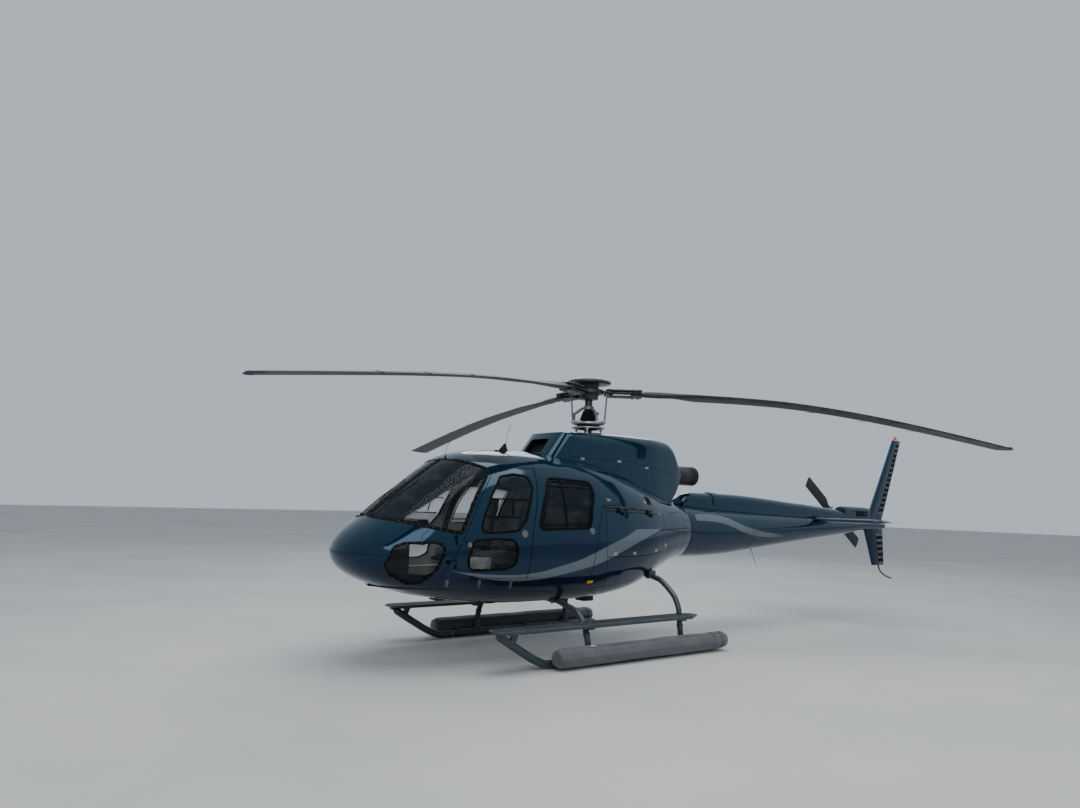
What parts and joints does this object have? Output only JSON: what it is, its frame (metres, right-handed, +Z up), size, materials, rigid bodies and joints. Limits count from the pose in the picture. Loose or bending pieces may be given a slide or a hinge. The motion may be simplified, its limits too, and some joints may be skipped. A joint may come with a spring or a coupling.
{
  "type": "light utility helicopter",
  "caption": "Light single-engine helicopter parked on arched skids, with a glazed cabin, opening front and baggage doors, stowed floats, a turning main rotor and tail rotor.",
  "frame": {"origin": "centre of the lower face of the sling hook plate under the belly, straight below the rotor mast", "axes": "+X forward, +Y to port, +Z up"},
  "size_m": [12.548, 8.6406, 3.2633],
  "materials": {
    "body_paint": "deep petrol blue gloss with grey swooshes",
    "light_skin": "painted composite skin, gloss",
    "clear_glazing": "clear acrylic",
    "seat_fabric": "woven seat cover",
    "panel_plastic": "matt black",
    "bare_metal": "cast and machined",
    "burnt_metal": "heat-darkened",
    "hub_metal": "dark anodised",
    "gear_paint": "dark slate, semi-matt",
    "float_cover": "coated fabric, matt",
    "blade_composite": "matt dark grey"
  },
  "bodies": {
    "airframe": {"cabin_shell": "body_paint", "lower_hull": "body_paint", "rear_fuselage": "body_paint", "windshield_left": "clear_glazing", "windshield_right": "clear_glazing", "chin_window_left": "clear_glazing", "chin_window_right": "clear_glazing", "roof_window_left": "clear_glazing", "roof_window_right": "clear_glazing", "rear_door_left": "body_paint", "rear_door_right": "body_paint", "rear_door_window_left": "clear_glazing", "rear_door_window_right": "clear_glazing", "front_seat_left": "seat_fabric", "front_seat_right": "seat_fabric", "rear_bench": "seat_fabric", "instrument_panel": "panel_plastic", "intake_cowl": "body_paint", "gearbox_cowl": "body_paint", "engine_cowl": "body_paint", "engine": "bare_metal", "main_gearbox": "bare_metal", "exhaust_pipe": "burnt_metal", "tail_boom": "body_paint", "drive_shaft_cover": "light_skin", "horizontal_stabiliser": "light_skin", "upper_fin": "light_skin", "lower_fin": "light_skin", "tail_gearbox": "bare_metal", "front_cross_tube": "gear_paint", "rear_cross_tube": "gear_paint", "skid_left": "gear_paint", "skid_right": "gear_paint", "step_left": "gear_paint", "step_right": "gear_paint", "float_bag_left": "float_cover", "float_bag_right": "float_cover", "sling_hook": "bare_metal", "control_ring": "bare_metal", "roof_antenna": "panel_plastic"},
    "front_door_left": {"front_door_left": "body_paint", "front_door_window_left": "clear_glazing", "lower_door_window_left": "clear_glazing"},
    "front_door_right": {"front_door_right": "body_paint", "front_door_window_right": "clear_glazing", "lower_door_window_right": "clear_glazing"},
    "baggage_door_left": {"baggage_door_left": "body_paint"},
    "baggage_door_right": {"baggage_door_right": "body_paint"},
    "main_rotor": {"rotor_mast": "bare_metal", "rotor_hub": "hub_metal", "hub_cap": "light_skin", "turning_ring": "bare_metal", "main_blade_1": "blade_composite", "main_blade_2": "blade_composite", "main_blade_3": "blade_composite"},
    "tail_rotor": {"tail_rotor": "blade_composite"}
  },
  "joints": [
    {"name": "main_rotor_spin", "type": "hinge", "parent": "airframe", "child": "main_rotor", "pos_m": [0, 0, 2.1], "axis": [0, 0, 1], "continuous": true},
    {"name": "tail_rotor_spin", "type": "hinge", "parent": "airframe", "child": "tail_rotor", "pos_m": [-6.28, -0.565, 1.14], "axis": [0, -1, 0], "continuous": true},
    {"name": "front_door_left_hinge", "type": "hinge", "parent": "airframe", "child": "front_door_left", "pos_m": [2.388, 0.83136, 0.6], "axis": [0, 0, -1], "range_deg": [0, 75]},
    {"name": "front_door_right_hinge", "type": "hinge", "parent": "airframe", "child": "front_door_right", "pos_m": [2.388, -0.83136, 0.6], "axis": [0, 0, 1], "range_deg": [0, 75]},
    {"name": "baggage_door_left_hinge", "type": "hinge", "parent": "airframe", "child": "baggage_door_left", "pos_m": [-0.11, 0.80477, 1.092], "axis": [0.9779, 0.2062, 0.0337], "range_deg": [0, 80]},
    {"name": "baggage_door_right_hinge", "type": "hinge", "parent": "airframe", "child": "baggage_door_right", "pos_m": [-0.11, -0.80477, 1.092], "axis": [-0.9779, 0.2062, -0.0337], "range_deg": [0, 80]}
  ]
}
